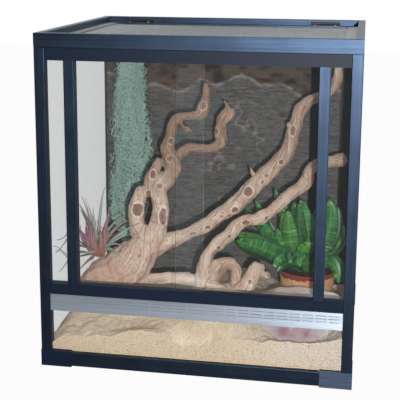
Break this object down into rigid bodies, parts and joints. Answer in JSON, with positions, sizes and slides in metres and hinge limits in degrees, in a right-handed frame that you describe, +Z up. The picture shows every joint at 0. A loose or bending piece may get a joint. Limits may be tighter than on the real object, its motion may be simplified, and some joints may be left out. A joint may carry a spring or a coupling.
{
  "type": "reptile terrarium",
  "caption": "Framed glass terrarium with sliding front panes, a vent strip, a hinged gauze lid and desert furnishings.",
  "frame": {"origin": "middle of the footprint, on the surface it stands on", "axes": "+X to the right seen from the front, +Y to the back, +Z up"},
  "size_m": [0.602, 0.502, 0.65],
  "materials": {
    "black_anodised": "satin",
    "black_plastic": "matt",
    "dark_panel": "matt",
    "clear_glass": "polished",
    "silver_aluminium": "satin",
    "gauze": "matt",
    "hinge_steel": "satin",
    "bright_steel": "satin",
    "sand": "matt",
    "bark": "matt",
    "driftwood": "matt",
    "moss": "matt",
    "air_leaf": "matt",
    "green_leaf": "satin",
    "terracotta": "matt",
    "stone": "matt"
  },
  "bodies": {
    "root": {"bottom_front_rail": "black_anodised", "bottom_rear_rail": "black_anodised", "bottom_left_rail": "black_anodised", "bottom_right_rail": "black_anodised", "corner_block_front_left": "black_plastic", "corner_block_front_right": "black_plastic", "corner_block_rear_left": "black_plastic", "corner_block_rear_right": "black_plastic", "post_front_left": "black_anodised", "post_front_right": "black_anodised", "post_rear_left": "black_anodised", "post_rear_right": "black_anodised", "top_front_rail": "black_anodised", "top_rear_rail": "black_anodised", "top_left_rail": "black_anodised", "top_right_rail": "black_anodised", "top_corner_keys": "black_plastic", "floor_panel": "dark_panel", "left_glass": "clear_glass", "right_glass": "clear_glass", "rear_panel": "dark_panel", "lower_front_glass": "clear_glass", "vent_strip": "silver_aluminium", "lower_track": "black_plastic", "upper_track": "black_plastic", "left_stile": "black_anodised", "right_stile": "black_anodised", "left_side_light": "clear_glass", "right_side_light": "clear_glass", "left_hinge_fixed_leaf": "hinge_steel", "right_hinge_fixed_leaf": "hinge_steel", "hinge_pins": "bright_steel", "fixed_leaf_screws": "bright_steel", "sand_bed": "sand", "bark_panel": "bark", "bark_strip": "bark", "driftwood": "driftwood", "hanging_moss": "moss", "air_plant": "air_leaf", "plant_bowl": "terracotta", "leafy_plant": "green_leaf", "flat_stone": "stone"},
    "left_door": {"left_door_glass": "clear_glass"},
    "right_door": {"right_door_glass": "clear_glass"},
    "lid": {"lid_front_rail": "silver_aluminium", "lid_rear_rail": "black_anodised", "lid_left_rail": "silver_aluminium", "lid_right_rail": "silver_aluminium", "lid_gauze": "gauze", "left_hinge_lid_leaf": "hinge_steel", "right_hinge_lid_leaf": "hinge_steel", "lid_leaf_screws": "bright_steel"}
  },
  "joints": [
    {"name": "left_door_slide", "type": "slide", "parent": "root", "child": "left_door", "axis": [1, 0, 0], "range_m": [0, 0.21]},
    {"name": "right_door_slide", "type": "slide", "parent": "root", "child": "right_door", "axis": [-1, 0, 0], "range_m": [0, 0.192]},
    {"name": "lid_hinge", "type": "hinge", "parent": "root", "child": "lid", "pos_m": [0, 0.231, 0.6418], "axis": [-1, 0, 0], "range_deg": [0, 100]}
  ]
}
